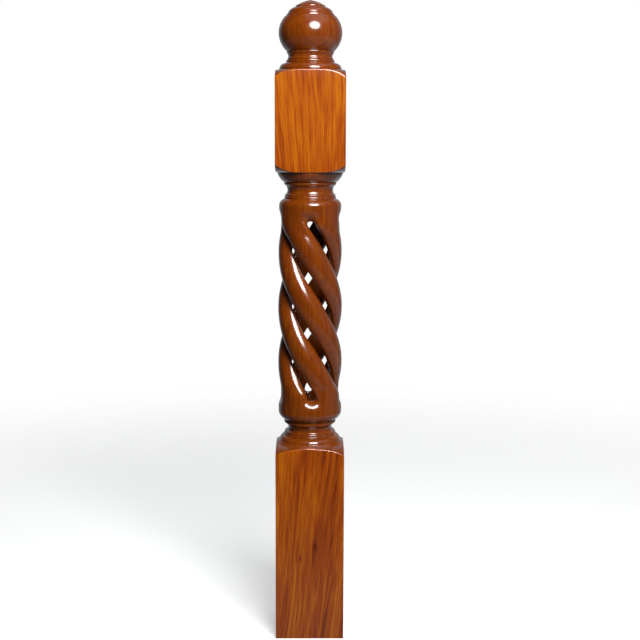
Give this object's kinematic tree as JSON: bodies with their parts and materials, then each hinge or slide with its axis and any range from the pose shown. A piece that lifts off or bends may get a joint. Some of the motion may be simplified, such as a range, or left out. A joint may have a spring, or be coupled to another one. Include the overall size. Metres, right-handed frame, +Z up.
{
  "type": "barley twist newel post",
  "caption": "Square hardwood newel post, turned and carved, with an open hollow left-handed barley twist between moulded necks and a squashed ball finial with a stepped cap.",
  "frame": {"origin": "middle of the underside of the square foot block, on the floor", "axes": "+Z up along the post's axis, +X and +Y square to the block faces, -Y the face seen in the picture"},
  "size_m": [0.13, 0.13, 1.2097],
  "materials": {
    "lacquered_hardwood": "clear gloss lacquer over red-brown hardwood"
  },
  "bodies": {
    "root": {"newel_post": "lacquered_hardwood"}
  },
  "joints": []
}
